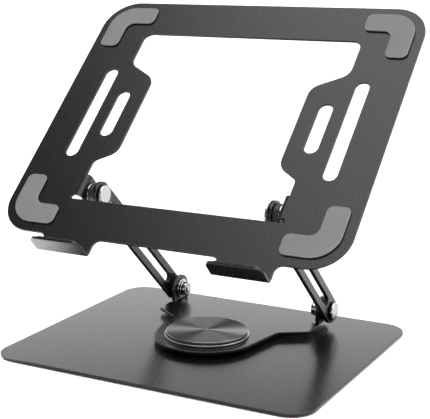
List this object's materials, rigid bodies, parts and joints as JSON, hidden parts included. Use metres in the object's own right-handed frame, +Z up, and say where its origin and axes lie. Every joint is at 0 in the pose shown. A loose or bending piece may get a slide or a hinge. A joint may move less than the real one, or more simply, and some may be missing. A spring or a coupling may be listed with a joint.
{
  "type": "laptop stand",
  "caption": "Folding laptop stand: a slotted tilting tray with corner pads and front lips, on hinged arms that rise from a swivelling yoke on a flat base plate.",
  "frame": {"origin": "on the table under the swivel axis, at the centre of the base plate", "axes": "+X to the user's right, +Y away from the user, +Z up; the arms at 43 degrees to the table and the tray tilted 43 degrees"},
  "size_m": [0.262, 0.195, 0.2378],
  "materials": {
    "base_coat": "dark grey powder coat, satin",
    "yoke_coat": "dark grey powder coat, satin",
    "ring_coat": "dark grey coat, smooth",
    "spun_disc": "dark anodised, spun with fine rings",
    "foot_rubber": "moulded black rubber",
    "arm_coat": "dark grey powder coat, satin",
    "tray_coat": "dark grey powder coat, fine grain",
    "lip_rubber": "black silicone",
    "pad_silicone": "light grey silicone, matt",
    "nylon": "black nylon",
    "bolt_chrome": "polished",
    "nut_steel": "bright plated",
    "washer_steel": "bright plated"
  },
  "bodies": {
    "base": {"base_plate": "base_coat", "foot_front_left": "foot_rubber", "foot_front_right": "foot_rubber", "foot_back_left": "foot_rubber", "foot_back_right": "foot_rubber", "pivot_stud": "nut_steel", "thrust_washer": "nylon", "pivot_nut": "nut_steel", "turntable_cap": "spun_disc"},
    "yoke": {"yoke_plate": "yoke_coat", "friction_ring": "ring_coat", "lower_bolt_left": "bolt_chrome", "lower_spacer_left": "nylon", "lower_washer_left": "washer_steel", "lower_lock_washer_left": "washer_steel", "lower_nut_left": "nut_steel", "lower_bolt_right": "bolt_chrome", "lower_spacer_right": "nylon", "lower_washer_right": "washer_steel", "lower_lock_washer_right": "washer_steel", "lower_nut_right": "nut_steel"},
    "arm_left": {"arm_left": "arm_coat"},
    "arm_right": {"arm_right": "arm_coat"},
    "tray": {"tray_plate": "tray_coat", "pad_front_left": "pad_silicone", "pad_front_right": "pad_silicone", "pad_back_left": "pad_silicone", "pad_back_right": "pad_silicone", "lip_pad_left": "lip_rubber", "lip_pad_right": "lip_rubber", "upper_bolt_left": "bolt_chrome", "upper_spacer_left": "nylon", "upper_washer_left": "washer_steel", "upper_nut_left": "nut_steel", "upper_bolt_right": "bolt_chrome", "upper_spacer_right": "nylon", "upper_washer_right": "washer_steel", "upper_nut_right": "nut_steel"}
  },
  "joints": [
    {"name": "swivel", "type": "hinge", "parent": "base", "child": "yoke", "pos_m": [0, 0, 0.00625], "axis": [0, 0, 1], "continuous": true},
    {"name": "arm_hinge", "type": "hinge", "parent": "yoke", "child": "arm_left", "pos_m": [-0.0675, 0.0683, 0.016], "axis": [1, 0, 0], "range_deg": [-22, 26]},
    {"name": "arm_hinge_right", "type": "hinge", "parent": "yoke", "child": "arm_right", "pos_m": [0.0675, 0.0683, 0.016], "axis": [1, 0, 0], "range_deg": [-22, 26]},
    {"name": "tray_hinge", "type": "hinge", "parent": "arm_left", "child": "tray", "pos_m": [-0.0675, -0.03248, 0.10998], "axis": [-1, 0, 0], "range_deg": [-5, 72]}
  ],
  "couplings": [
    {"joint": "arm_hinge_right", "follows": "arm_hinge", "ratio": 1}
  ]
}
